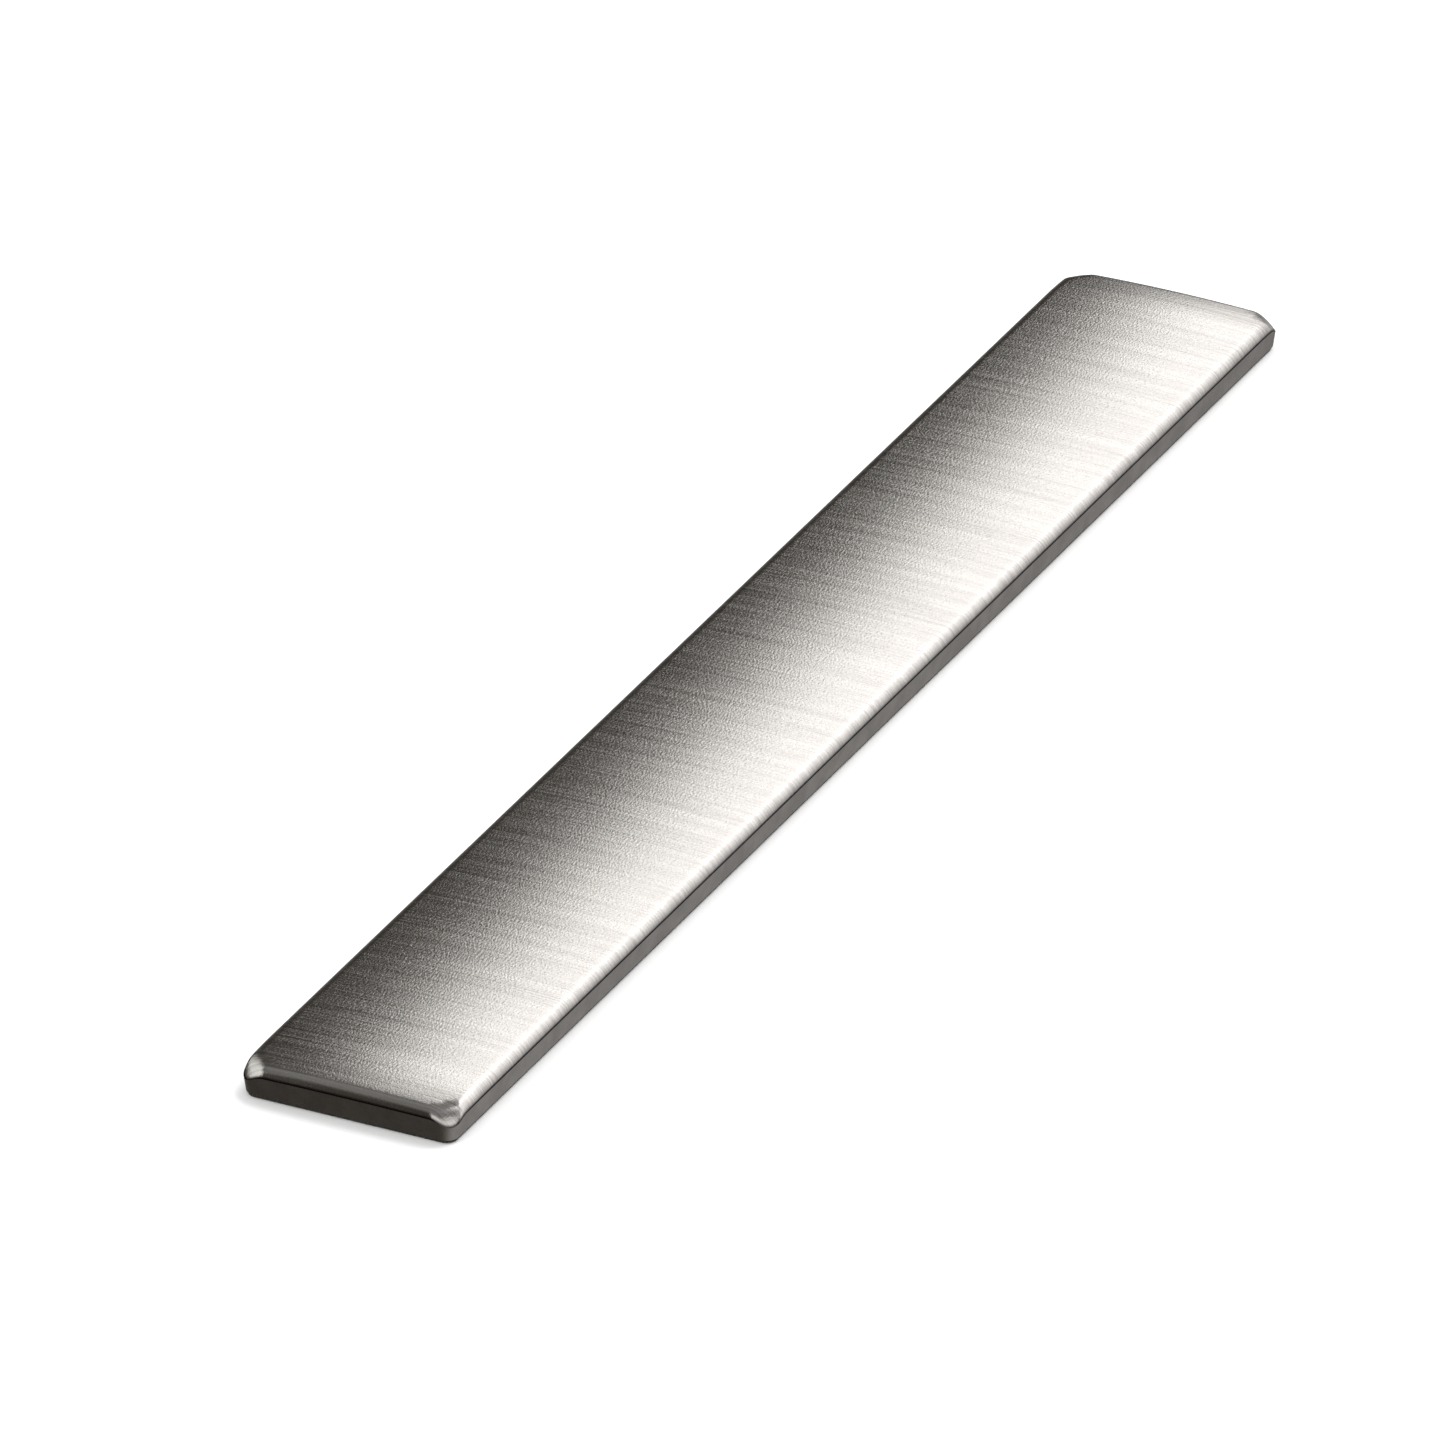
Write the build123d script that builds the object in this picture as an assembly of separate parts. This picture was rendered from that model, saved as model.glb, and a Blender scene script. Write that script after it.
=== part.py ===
from build123d import *
import os
from math import atan, cos, hypot, radians, sin, sqrt, tan

os.makedirs("parts", exist_ok=True)

# Slim clip-on door plate: a pillow-topped metal cover pushed over a screwed rail.
# Millimetres. X runs along the plate, Y across it, Z out of the door face.
# Origin: middle of the back face, which lies on the door at Z = 0.

# ---- overall sizes -------------------------------------------------------------------
LENGTH = 200.0          # over the cover, at its widest line
WIDTH = 25.4            # over the cover, at its widest line
HEIGHT = 4.4            # door face to the top of the crown

# ---- cover outside -------------------------------------------------------------------
GASKET_T = 0.4          # foam between the door and everything else
ROLL_R = 1.35           # rolled edge between the top and the side walls
DRAFT = 8.5             # below the roll the side walls lean in towards the door by this angle
CREASE_RISE = 0.08      # the lean starts this far above the roll's own widest line
CORNER_R = 1.8          # plan radius of the corners at the widest line
CROWN_SIDE = 0.35       # fall of the top from the middle to the long edges
CROWN_END = 0.45        # extra fall over the last stretch at each short end
END_FALL_LEN = 7.0      # length of that stretch
CORNER_FALL = 3.5       # extra fall where the plan's square corner would be
CORNER_FALL_LEN = 7.0   # the fall starts outside an arc of this radius

# ---- cover inside --------------------------------------------------------------------
WALL = 1.8              # side wall at the widest line
ROOF_T = 1.4            # roof at the middle of the crown
CAVITY_R = 1.5          # plan radius of the cavity corners
LEAD_IN = 0.35          # chamfer round the mouth of the cavity

# ---- rail ----------------------------------------------------------------------------
RAIL_T = 1.5            # flat steel strip
RAIL_GAP = 0.3          # all round, rail to cavity wall
RAIL_R = 1.2            # plan corner radius of the rail
SCREW_D = 3.8           # clearance hole for a No. 6 countersunk screw
SINK_D = 6.0            # countersink at the rail's top
OUTER_PITCH = LENGTH - 30.0     # between the two outer screw holes
INNER_PITCH = LENGTH * 0.3      # between the two inner screw holes
GASKET_INSET = 0.2      # gasket edge back from the cover's rim
GASKET_HOLE_D = 5.0     # gasket opening round each screw

# ---- spring clips --------------------------------------------------------------------
CLIP_T = 0.3            # spring steel sheet
CLIP_W = 10.0           # width along the rail
CLIP_GAP = 0.06         # nose to cavity wall with the cover on
CLIP_SCREW = 15.0       # outer clips stand this far inside the outer screws
RAMP_DEG = 25.0         # outer arm slopes down by this angle
RETURN_DEG = 55.0       # below the nose the arm turns back in at this angle
RAMP_RUN = 1.4          # sideways run of the ramp
RETURN_DROP = 0.6       # height of the returned tip
NOTCH_SIDE = 0.3        # clip edge to notch edge
NOTCH_CLEAR = 0.3       # ramp start to notch floor

# ---- rivets, one for each clip -------------------------------------------------------
RIVET_D = 2.0
RIVET_HEAD_D = 3.8
RIVET_HEAD_H = 0.45
RIVET_TAIL_D = 3.0
RIVET_TAIL_H = 0.5
RIVET_FIT = 0.02        # radial, shank to hole

# ---- damping pads --------------------------------------------------------------------
PAD_L = 12.0
PAD_W = 14.0
PAD_R = 1.5
PAD_CLEAR = 0.3         # pad to the underside of the roof

# ---- end locators --------------------------------------------------------------------
LOC_W = 8.0             # tongue width, in the end notch of the rail
LOC_DEEP = 3.0          # end notch depth from the rail's end
LOC_HEAD_W = 11.0       # head, resting on the rail
LOC_HEAD_BACK = 1.6     # head reaches this far behind the notch
LOC_HEAD_H = 0.6
LOC_FIT = 0.03          # tongue to notch, each face
LOC_GAP = 0.05          # locator to the cover's end wall


def crown_z(x, y):
    """Height of the cover's top: an arc across the width that also falls at the ends and corners."""
    side = LENGTH / 2 - abs(x)
    edge = WIDTH / 2 - abs(y)
    across = CROWN_SIDE * (2 * y / WIDTH) ** 2
    end = CROWN_END * max(0.0, 1 - side / END_FALL_LEN) ** 2
    outside = hypot(max(0.0, 1 - side / CORNER_FALL_LEN), max(0.0, 1 - edge / CORNER_FALL_LEN)) - 1
    corner = CORNER_FALL * (max(0.0, outside) / (sqrt(2) - 1)) ** 2
    return HEIGHT - across - end - corner


def widest_z(height_at, half):
    """Height of the rolled edge's centre line, where the cover is widest."""
    centre = half - ROLL_R
    angle = 0.0
    for _ in range(20):
        touch = centre + ROLL_R * sin(angle)
        slope = (height_at(touch) - height_at(touch + 0.001)) / 0.001
        angle = atan(slope)
    return height_at(touch) - ROLL_R * cos(angle)


# ---- derived -------------------------------------------------------------------------
RIM_Z = GASKET_T                                   # the cover's rim rests on the gasket
CREASE_Z = widest_z(lambda y: crown_z(0, y), WIDTH / 2) + CREASE_RISE
RIM_INSET = (CREASE_Z - RIM_Z) * tan(radians(DRAFT))
RIM_L = LENGTH - 2 * RIM_INSET
RIM_W = WIDTH - 2 * RIM_INSET
RIM_R = CORNER_R - RIM_INSET
CAVITY_L = LENGTH - 2 * WALL
CAVITY_W = WIDTH - 2 * WALL
ROOF_Z = HEIGHT - ROOF_T
RAIL_L = CAVITY_L - 2 * RAIL_GAP
RAIL_W = CAVITY_W - 2 * RAIL_GAP
RAIL_TOP = RIM_Z + RAIL_T
SCREW_X = (-OUTER_PITCH / 2, -INNER_PITCH / 2, INNER_PITCH / 2, OUTER_PITCH / 2)
CLIP_FAR = OUTER_PITCH / 2 - CLIP_SCREW
CLIP_NEAR = INNER_PITCH / 4
CLIP_X = (-CLIP_FAR, -CLIP_NEAR, CLIP_NEAR, CLIP_FAR)
PAD_FAR = (INNER_PITCH / 2 + CLIP_FAR) / 2         # halfway between inner screw and outer clip
PAD_X = (-PAD_FAR, 0.0, PAD_FAR)
# mitred nose of the clip reaches past its centre line by this much
NOSE_TURN = radians(180.0 - RAMP_DEG - RETURN_DEG)
NOSE_FACE = radians((RETURN_DEG - RAMP_DEG) / 2)
NOSE_REACH = CLIP_T / 2 / cos(NOSE_TURN / 2) * cos(NOSE_FACE)
NOSE_Y = CAVITY_W / 2 - CLIP_GAP - NOSE_REACH
RAMP_Y = NOSE_Y - RAMP_RUN
NOTCH_Y = RAMP_Y - NOTCH_CLEAR
SPINE_TOP = RAIL_TOP + CLIP_T


def crown_face():
    """Smooth face through the crown heights, reaching past the cover on every side."""
    over = 0.75
    fine = [i * 0.75 for i in range(int((END_FALL_LEN + over) / 0.75) + 4)]
    right = [LENGTH / 2 + over - s for s in fine]
    middle = [right[-1] * (1 - i / 6.0) for i in range(1, 12)]
    xs = right + middle + [-x for x in reversed(right)]
    half = round((WIDTH / 2 + over) / 0.75)
    ys = [(WIDTH / 2 + over) * (i / half - 1) for i in range(2 * half + 1)]
    grid = [[Vector(x, y, crown_z(x, y)) for y in ys] for x in xs]
    return Face.make_surface_from_array_of_points(grid, tol=0.01, min_deg=3, max_deg=5)


def cover_plate():
    """The cover: crowned roof with a rolled edge, walls leaning in below a crease, and an open back."""
    plan = Pos(0, 0, RIM_Z) * RectangleRounded(LENGTH, WIDTH, CORNER_R)
    blank = extrude(plan, amount=HEIGHT - RIM_Z + 1)
    above = Solid.extrude(crown_face(), Vector(0, 0, 2 * HEIGHT))
    body = blank - above
    top = body.faces().sort_by(Axis.Z)[-1]
    body = fillet(top.edges(), ROLL_R)
    rim = Pos(0, 0, RIM_Z) * RectangleRounded(RIM_L, RIM_W, RIM_R)
    leaning = extrude(rim, amount=HEIGHT - RIM_Z + 1, taper=-DRAFT)
    body = body & leaning
    mouth = Pos(0, 0, RIM_Z) * RectangleRounded(CAVITY_L, CAVITY_W, CAVITY_R)
    cavity = extrude(mouth, amount=ROOF_Z - RIM_Z)
    body = body - cavity
    back = body.faces().sort_by(Axis.Z)[0]
    return chamfer(back.inner_wires()[0].edges(), LEAD_IN)


def clip_notches():
    """Pairs of side notches in the rail that the clip arms pass through."""
    depth = RAIL_W / 2 - NOTCH_Y
    box = Box(CLIP_W + 2 * NOTCH_SIDE, depth + 1, RAIL_T + 2)
    cuts = []
    for x in CLIP_X:
        for side in (-1, 1):
            cuts.append(Pos(x, side * (NOTCH_Y + (depth + 1) / 2), RIM_Z + RAIL_T / 2) * box)
    return cuts


def end_notches():
    """One notch in each end of the rail, for the end locators."""
    box = Box(LOC_DEEP + 1, LOC_W, RAIL_T + 2)
    x = RAIL_L / 2 - LOC_DEEP + (LOC_DEEP + 1) / 2
    return [Pos(side * x, 0, RIM_Z + RAIL_T / 2) * box for side in (-1, 1)]


def screw_hole(x):
    """Through hole with a countersink opening upwards."""
    sink_h = (SINK_D - SCREW_D) / 2
    hole = Pos(x, 0, RIM_Z + RAIL_T / 2) * Cylinder(SCREW_D / 2, RAIL_T + 1)
    sink = Pos(x, 0, RAIL_TOP - sink_h / 2) * Cone(SCREW_D / 2, SINK_D / 2, sink_h)
    return hole + sink


def rivet_hole(x):
    """Through hole with a countersink for the rivet's tail, opening downwards."""
    hole = Pos(x, 0, RIM_Z + RAIL_T / 2) * Cylinder(RIVET_D / 2, RAIL_T + 1)
    sink_z = RIM_Z + RIVET_TAIL_H / 2
    sink = Pos(x, 0, sink_z) * Cone(RIVET_TAIL_D / 2, RIVET_D / 2, RIVET_TAIL_H)
    return hole + sink


def base_rail():
    """The rail: a flat strip screwed to the door."""
    strip = Pos(0, 0, RIM_Z) * RectangleRounded(RAIL_L, RAIL_W, RAIL_R)
    rail = extrude(strip, amount=RAIL_T)
    for cut in clip_notches() + end_notches():
        rail = rail - cut
    for x in SCREW_X:
        rail = rail - screw_hole(x)
    for x in CLIP_X:
        rail = rail - rivet_hole(x)
    return rail


def foam_gasket():
    """Closed-cell foam sheet under the rail and the cover's rim."""
    outline = RectangleRounded(RIM_L - 2 * GASKET_INSET, RIM_W - 2 * GASKET_INSET, RIM_R - GASKET_INSET)
    sheet = extrude(outline, amount=GASKET_T)
    for x in SCREW_X:
        sheet = sheet - Pos(x, 0, GASKET_T / 2) * Cylinder(GASKET_HOLE_D / 2, GASKET_T + 1)
    return sheet


def clip_outline():
    """Outline of the bent strip across the rail, in the Y-Z plane, with mitred bends."""
    spine_z = RAIL_TOP + CLIP_T / 2
    nose_z = spine_z - RAMP_RUN * tan(radians(RAMP_DEG))
    tip_y = NOSE_Y - RETURN_DROP / tan(radians(RETURN_DEG))
    line = [(RAMP_Y, spine_z), (NOSE_Y, nose_z), (tip_y, nose_z - RETURN_DROP)]
    line = [(-y, z) for y, z in reversed(line)] + line
    normals = []
    for (y0, z0), (y1, z1) in zip(line[:-1], line[1:]):
        size = ((y1 - y0) ** 2 + (z1 - z0) ** 2) ** 0.5
        normals.append((-(z1 - z0) / size, (y1 - y0) / size))
    outer = []
    inner = []
    for i, (y, z) in enumerate(line):
        a = normals[max(i - 1, 0)]
        b = normals[min(i, len(normals) - 1)]
        scale = CLIP_T / 2 / (1 + a[0] * b[0] + a[1] * b[1])
        dy = (a[0] + b[0]) * scale
        dz = (a[1] + b[1]) * scale
        outer.append((y + dy, z + dz))
        inner.append((y - dy, z - dz))
    return outer + inner[::-1]


def spring_clip(x):
    """One clip: a strip bent over the rail, its two noses gripping the cover's walls."""
    points = [Vector(x - CLIP_W / 2, y, z) for y, z in clip_outline()]
    profile = Face(Wire.make_polygon(points, close=True))
    strip = Solid.extrude(profile, Vector(CLIP_W, 0, 0))
    return strip - Pos(x, 0, SPINE_TOP) * Cylinder(RIVET_D / 2, 4 * CLIP_T)


def rivet(x):
    """One rivet: domed head on the clip, flush tail under the rail."""
    shank_r = RIVET_D / 2 - RIVET_FIT
    length = SPINE_TOP - RIM_Z
    shank = Pos(x, 0, RIM_Z + length / 2) * Cylinder(shank_r, length)
    tail_r = RIVET_TAIL_D / 2 - RIVET_FIT
    tail = Pos(x, 0, RIM_Z + RIVET_TAIL_H / 2) * Cone(tail_r, shank_r, RIVET_TAIL_H)
    head = Pos(x, 0, SPINE_TOP + RIVET_HEAD_H / 2) * Cylinder(RIVET_HEAD_D / 2, RIVET_HEAD_H)
    head = fillet(head.edges().sort_by(Axis.Z)[-1], RIVET_HEAD_H * 0.8)
    return shank + tail + head


def clip_rivets():
    """The rivets, as separate solids of one node."""
    return Compound(children=[rivet(x) for x in CLIP_X])


def damping_pad(x):
    """One felt pad on the rail that keeps the roof from rattling."""
    shape = Pos(x, 0, RAIL_TOP) * RectangleRounded(PAD_L, PAD_W, PAD_R)
    return extrude(shape, amount=ROOF_Z - PAD_CLEAR - RAIL_TOP)


def end_locator(side):
    """One moulded locator in the rail's end that centres the cover lengthwise."""
    face_x = CAVITY_L / 2 - LOC_GAP
    back_x = RAIL_L / 2 - LOC_DEEP + LOC_FIT
    tongue = Box(face_x - back_x, LOC_W - 2 * LOC_FIT, RAIL_T)
    tongue = Pos(side * (face_x + back_x) / 2, 0, RIM_Z + RAIL_T / 2) * tongue
    head_l = face_x - back_x + LOC_HEAD_BACK
    head = Box(head_l, LOC_HEAD_W, LOC_HEAD_H)
    head = fillet(head.edges().filter_by(Axis.Z), 0.8)
    head = Pos(side * (face_x - head_l / 2), 0, RAIL_TOP + LOC_HEAD_H / 2) * head
    return tongue + head


def build_parts():
    """Every node by name."""
    parts = {
        "cover_plate": cover_plate(),
        "base_rail": base_rail(),
        "foam_gasket": foam_gasket(),
        "clip_rivets": clip_rivets(),
        "end_locator_left": end_locator(-1),
        "end_locator_right": end_locator(1),
    }
    for number, x in enumerate(CLIP_X, start=1):
        parts[f"spring_clip_{number}"] = spring_clip(x)
    for number, x in enumerate(PAD_X, start=1):
        parts[f"damping_pad_{number}"] = damping_pad(x)
    return parts


for name, shape in build_parts().items():
    export_step(shape, f"parts/{name}.step")
    box = shape.bounding_box()
    print(name, len(shape.solids()), "solids", [round(v, 3) for v in (*box.min, *box.max)], round(shape.volume, 2))
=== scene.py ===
"""Looks of a slim clip-on door plate: brushed metal cover, foam backing and clip rail."""

import math

import bmesh
import bpy
import numpy as np
from bpy.props import FloatProperty, FloatVectorProperty, PointerProperty
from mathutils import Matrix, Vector


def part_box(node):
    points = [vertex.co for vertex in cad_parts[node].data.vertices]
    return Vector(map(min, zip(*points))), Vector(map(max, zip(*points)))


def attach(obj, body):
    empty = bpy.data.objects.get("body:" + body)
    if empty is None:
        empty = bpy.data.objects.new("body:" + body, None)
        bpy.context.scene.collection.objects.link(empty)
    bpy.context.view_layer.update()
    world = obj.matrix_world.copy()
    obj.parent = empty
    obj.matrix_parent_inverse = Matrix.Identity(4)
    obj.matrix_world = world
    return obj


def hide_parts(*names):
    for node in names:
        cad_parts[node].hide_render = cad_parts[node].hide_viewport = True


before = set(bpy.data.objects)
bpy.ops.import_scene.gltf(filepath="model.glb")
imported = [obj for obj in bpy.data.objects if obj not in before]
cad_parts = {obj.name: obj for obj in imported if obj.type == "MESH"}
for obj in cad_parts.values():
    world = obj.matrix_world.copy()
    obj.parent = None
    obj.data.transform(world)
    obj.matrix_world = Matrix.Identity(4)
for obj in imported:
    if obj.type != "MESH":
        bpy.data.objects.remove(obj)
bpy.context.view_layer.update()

bl_info = {
    "name": "Clip-on Door Plate",
    "version": (1, 0, 0),
    "blender": (4, 5, 0),
    "location": "View3D > Sidebar > Door Plate",
    "description": "Builds a slim clip-on door plate, its finishes and a plain studio",
    "category": "Object",
}

MM = 0.001
COVER_LOW, COVER_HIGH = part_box("cover_plate")
_, RAIL_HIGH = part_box("base_rail")
GASKET_LOW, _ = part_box("foam_gasket")
CLIP_NODES = sorted(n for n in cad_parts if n.startswith("spring_clip"))
PAD_NODES = sorted(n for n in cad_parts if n.startswith("damping_pad"))
LOCATOR_NODES = sorted(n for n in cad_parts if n.startswith("end_locator"))


def linear(hex_colour):
    """sRGB hex to linear red, green, blue."""
    values = [int(hex_colour[i : i + 2], 16) / 255 for i in (1, 3, 5)]
    return tuple(v / 12.92 if v <= 0.04045 else ((v + 0.055) / 1.055) ** 2.4 for v in values)


# ---- meshes --------------------------------------------------------------------------

WALL_ROWS, ROLL_ROWS, TOP_ROWS = 6, 15, 27  # rings up the wall, over the roll and in to the middle
TOP_CROWDING = 1.2  # above 1, the top's rings crowd towards its edge
LEAST_RADIUS = 0.5 * MM  # the top's rings keep this corner radius
ROOF_SOFTNESS = 0.25 * MM  # rounding between the open back's walls and its roof
SLOPE_ROUNDS, SLOPE_STEP = 16, 0.001 * MM  # how the crown's slope at the roll is found
MERGE = 0.0005 * MM  # points nearer than this are one
FLAT_ANGLE, SHARP_ANGLE, BEVEL_ANGLE = (math.radians(d) for d in (1, 35, 50))
LAY_SCALE = 10.0


def perimeter(along=112, across=44, corner=14):
    """Points round a rounded rectangle as four rows: corner-centre multipliers cx, cy and the
    outward normal nx, ny.

    A point of the outline with half sizes a, b and corner radius r is
    ((a - r) cx + r nx, (b - r) cy + r ny). Points along the sides crowd towards the corners,
    where the top falls away.
    """
    t = np.sin(np.linspace(-1, 1, along + 1) * math.pi / 2)
    s = np.sin(np.linspace(-1, 1, across + 1) * math.pi / 2)
    turn = np.radians(np.linspace(0, 90, corner + 1))[1:-1]
    one, zero = np.ones_like, np.zeros_like

    def arc(sx, sy, start):
        angle = turn + math.radians(start)
        return np.stack([sx * one(turn), sy * one(turn), np.cos(angle), np.sin(angle)])

    parts = [
        np.stack([t[::-1], one(t), zero(t), one(t)]),
        arc(-1, 1, 90),
        np.stack([-one(s), s[::-1], -one(s), zero(s)]),
        arc(-1, -1, 180),
        np.stack([t, -one(t), zero(t), -one(t)]),
        arc(1, -1, 270),
        np.stack([one(s), s, one(s), zero(s)]),
        arc(1, 1, 0),
    ]
    return np.concatenate(parts, axis=1)


def outline(ring, a, b, r):
    """x and y of a rounded rectangle with half sizes a, b and corner radius r, at the points of
    ring."""
    cx, cy, nx, ny = ring
    return (a - r) * cx + r * nx, (b - r) * cy + r * ny


def crown(x, y, p):
    """Height of the cover's top: a parabola across the width, a parabola down to each end, and
    outside an arc of the corner reach, drawn inwards from each corner, a fall with the square of
    the distance past that arc."""
    end = p.length / 2 - abs(x)
    edge = p.width / 2 - abs(y)
    across = p.crown_side * (2 * y / p.width) ** 2
    down = p.crown_end * np.maximum(0, 1 - end / p.end_fall) ** 2
    in_x, in_y = (np.maximum(0, 1 - side / p.corner_reach) for side in (end, edge))
    past = np.hypot(in_x, in_y) - 1
    at_corner = p.corner_fall * (np.maximum(0, past) / (math.sqrt(2) - 1)) ** 2
    return p.height - across - down - at_corner


def cover_rings(p):
    """Rings of the cover from the rim's outer edge, up the leaning wall, over the roll and in to
    the middle line.

    The roll is an arc of radius R that touches the crown: its centre runs R inside the widest
    outline, at the crown's height less R times the cosine of the crown's slope there. The wall is
    a plane leaning in by the draft, and meets the roll where both stand the same distance inside
    the widest outline; that is the crease.
    """
    ring = perimeter()
    a, b, rc, roll = p.length / 2, p.width / 2, p.corner_radius, p.roll_radius

    def inside(inset):
        return outline(ring, a - inset, b - inset, rc - inset)

    slope = np.zeros(ring.shape[1])
    for _ in range(SLOPE_ROUNDS):
        inset = roll * (1 - np.sin(slope))
        rise = crown(*inside(inset), p) - crown(*inside(inset - SLOPE_STEP), p)
        slope = np.arctan(rise / SLOPE_STEP)
    touch = roll * (1 - np.sin(slope))
    centre_z = crown(*inside(touch), p) - roll * np.cos(slope)
    middle = np.argmin(abs(ring[0]) + abs(ring[3] + 1))
    crease_top = centre_z[middle] + p.crease_rise
    lean = math.tan(p.draft)
    reach = (crease_top - centre_z) * lean
    start = math.pi / 2 - p.draft + np.arcsin((reach - roll) * math.cos(p.draft) / roll)
    crease_z = centre_z + roll * np.sin(start)
    finish = math.pi / 2 - slope
    rim_z = COVER_LOW[2]
    rows = []
    for v in np.linspace(0, 1, WALL_ROWS):
        z = rim_z + (crease_z - rim_z) * v
        rows.append(np.stack([*inside((crease_top - z) * lean), z], axis=1))
    crease_row = len(rows) - 1
    for v in np.linspace(0, 1, ROLL_ROWS)[1:]:
        angle = start + (finish - start) * v
        x, y = inside(roll * (1 - np.cos(angle)))
        rows.append(np.stack([x, y, centre_z + roll * np.sin(angle)], axis=1))
    for v in np.linspace(0, 1, TOP_ROWS)[1:] ** TOP_CROWDING:
        inset = touch + (b - touch) * v
        radius = np.minimum(np.maximum(rc - inset, LEAST_RADIUS), b - inset)
        x, y = outline(ring, a - inset, b - inset, radius)
        rows.append(np.stack([x, y, crown(x, y, p)], axis=1))
    return ring, rows, crease_row


def cavity_rings(ring, p):
    """Rings of the open back: the flat rim, the lead-in chamfer, the upright wall and the flat
    roof, in to the middle line. Each is written as half sizes, corner radius and height."""
    a, b = RAIL_HIGH[0] + p.rail_gap, RAIL_HIGH[1] + p.rail_gap
    rim_z, roof_z = COVER_LOW[2], p.roof_z
    r, lead, soft = p.cavity_radius, p.lead_in, ROOF_SOFTNESS
    steps = [
        (a + lead, b + lead, r + lead, rim_z),
        (a, b, r, rim_z + lead),
        (a, b, r, roof_z - soft),
    ]
    for turn in np.radians([30, 60, 90]):
        inset = soft * (1 - math.cos(turn))
        steps.append((a - inset, b - inset, r, roof_z - soft + soft * math.sin(turn)))
    for v in (0.2, 0.5, 1.0):
        inset = soft + (b - soft) * v
        steps.append((a - inset, b - inset, min(r, b - inset), roof_z))
    rows = []
    for half_x, half_y, radius, z in steps:
        x, y = outline(ring, half_x, half_y, radius)
        rows.append(np.stack([x, y, np.full_like(x, z)], axis=1))
    return rows


def ring_faces(rows, points):
    """Quads between neighbouring rings of a (rows x points) grid."""
    row = np.arange(rows - 1)[:, None] * points
    j = np.arange(points)[None, :]
    k = (j + 1) % points
    above = row + points
    return np.stack([row + j, row + k, above + k, above + j], axis=-1).reshape(-1, 4)


def mesh_object(name, points, faces, sharp_rows=None, row_length=None, slots=None, rise=None):
    """Mesh object from whole arrays; merges doubled points, turns faces outwards and marks the
    sharp rings. rise is kept on the points as the attribute of that name."""
    mesh = bpy.data.meshes.new(name)
    mesh.from_pydata(points.tolist(), [], faces.tolist())
    if slots is not None:
        mesh.polygons.foreach_set("material_index", slots.astype(np.int32))
    if rise is not None:
        kept = mesh.attributes.new("rise", "FLOAT", "POINT")
        kept.data.foreach_set("value", rise.astype(np.float32))
    if sharp_rows:
        ends = np.empty(len(mesh.edges) * 2, dtype=np.int32)
        mesh.edges.foreach_get("vertices", ends)
        row = ends.reshape(-1, 2) // row_length
        sharp = (row[:, 0] == row[:, 1]) & np.isin(row[:, 0], sharp_rows)
        mesh.edges.foreach_set("use_edge_sharp", sharp)
    bm = bmesh.new()
    bm.from_mesh(mesh)
    bmesh.ops.remove_doubles(bm, verts=bm.verts, dist=MERGE)
    bmesh.ops.recalc_face_normals(bm, faces=bm.faces)
    bm.to_mesh(mesh)
    bm.free()
    mesh.shade_smooth()
    piece = bpy.data.objects.new(name, mesh)
    bpy.context.scene.collection.objects.link(piece)
    return piece


def lay_map(piece):
    """Adds the UV map "lay": U runs along the plate and V across it, in tenths of a metre, for
    the brush's tangent."""
    mesh = piece.data
    where = np.empty(len(mesh.vertices) * 3, dtype=np.float32)
    mesh.vertices.foreach_get("co", where)
    corner = np.empty(len(mesh.loops), dtype=np.int32)
    mesh.loops.foreach_get("vertex_index", corner)
    uv = where.reshape(-1, 3)[corner, :2] * LAY_SCALE
    mesh.uv_layers.new(name="lay").data.foreach_set("uv", uv.ravel())


def soft_copy(node, name, width, segments=2):
    """A copy of a CAD node's mesh, its loose triangles merged and flattened, with its edges
    rounded by width."""
    bm = bmesh.new()
    bm.from_mesh(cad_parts[node].data)
    bmesh.ops.remove_doubles(bm, verts=bm.verts, dist=MERGE)
    bmesh.ops.dissolve_limit(bm, angle_limit=FLAT_ANGLE, verts=bm.verts, edges=bm.edges)
    mesh = bpy.data.meshes.new(name)
    bm.to_mesh(mesh)
    bm.free()
    piece = bpy.data.objects.new(name, mesh)
    bpy.context.scene.collection.objects.link(piece)
    mesh.shade_smooth()
    mesh.set_sharp_from_angle(angle=SHARP_ANGLE)
    bevel = piece.modifiers.new("edge", "BEVEL")
    bevel.width = width
    bevel.segments = segments
    bevel.limit_method = "ANGLE"
    bevel.angle_limit = BEVEL_ANGLE
    bevel.harden_normals = True
    return piece


def coat(piece, made):
    """Gives a piece one material."""
    piece.data.materials.clear()
    piece.data.materials.append(made)


# ---- materials -----------------------------------------------------------------------


def add(tree, kind, inputs=None, **settings):
    """Adds one node with its settings; an input given as a socket is linked, anything else is
    its value."""
    made = tree.nodes.new(kind)
    for key, value in settings.items():
        setattr(made, key, value)
    for key, value in (inputs or {}).items():
        if isinstance(value, bpy.types.NodeSocket):
            tree.links.new(value, made.inputs[key])
        else:
            made.inputs[key].default_value = value
    return made


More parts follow.
